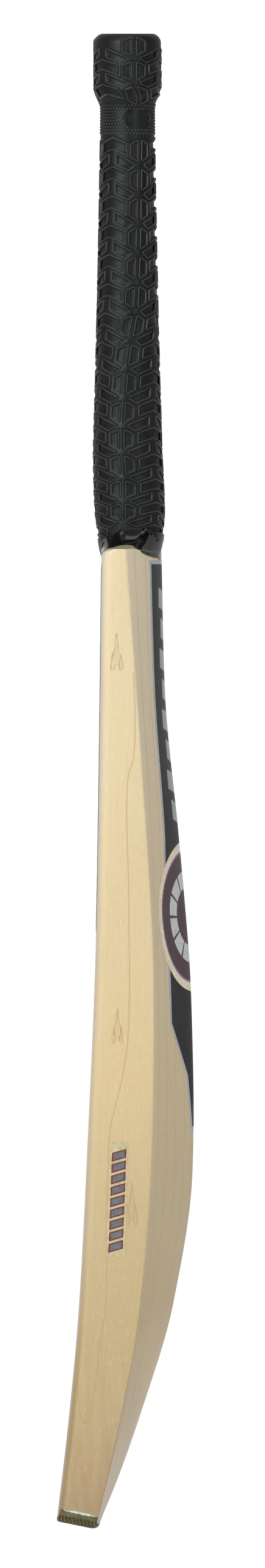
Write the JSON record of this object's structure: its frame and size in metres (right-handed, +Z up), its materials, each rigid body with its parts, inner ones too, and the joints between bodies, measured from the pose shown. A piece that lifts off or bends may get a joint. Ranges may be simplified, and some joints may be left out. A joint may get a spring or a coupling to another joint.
{
  "type": "cricket bat",
  "caption": "Full-size short-handle willow cricket bat with a spliced laminated cane handle, rubber grip, grip tape, toe guard and stickers.",
  "frame": {"origin": "on the centre line of the handle, level with the lowest point of the toe; the bounding box's bottom centre is about 1 mm from it", "axes": "+Z up along the handle, the face of the blade looks along -Y, the spine along +Y, the edges along X"},
  "size_m": [0.1086, 0.0781, 0.85],
  "materials": {
    "willow": "satin",
    "cane": "matte",
    "insert_rubber": "matte",
    "twine": "matte",
    "grip_rubber": "satin",
    "tape_film": "gloss",
    "guard_rubber": "matte",
    "label_film": "satin",
    "emblem_film": "gloss",
    "edge_film": "satin"
  },
  "bodies": {
    "root": {"blade": "willow", "cane_front_left": "cane", "cane_front_middle": "cane", "cane_front_right": "cane", "cane_mid_front_left": "cane", "cane_mid_front_middle": "cane", "cane_mid_front_right": "cane", "cane_mid_rear_left": "cane", "cane_mid_rear_middle": "cane", "cane_mid_rear_right": "cane", "cane_rear_left": "cane", "cane_rear_middle": "cane", "cane_rear_right": "cane", "insert_front": "insert_rubber", "insert_centre": "insert_rubber", "insert_rear": "insert_rubber", "twine_binding": "twine", "rubber_grip": "grip_rubber", "grip_tape": "tape_film", "toe_guard": "guard_rubber", "back_label": "label_film", "back_label_tail": "label_film", "back_emblem": "emblem_film", "face_label": "label_film", "edge_label": "edge_film"}
  },
  "joints": []
}
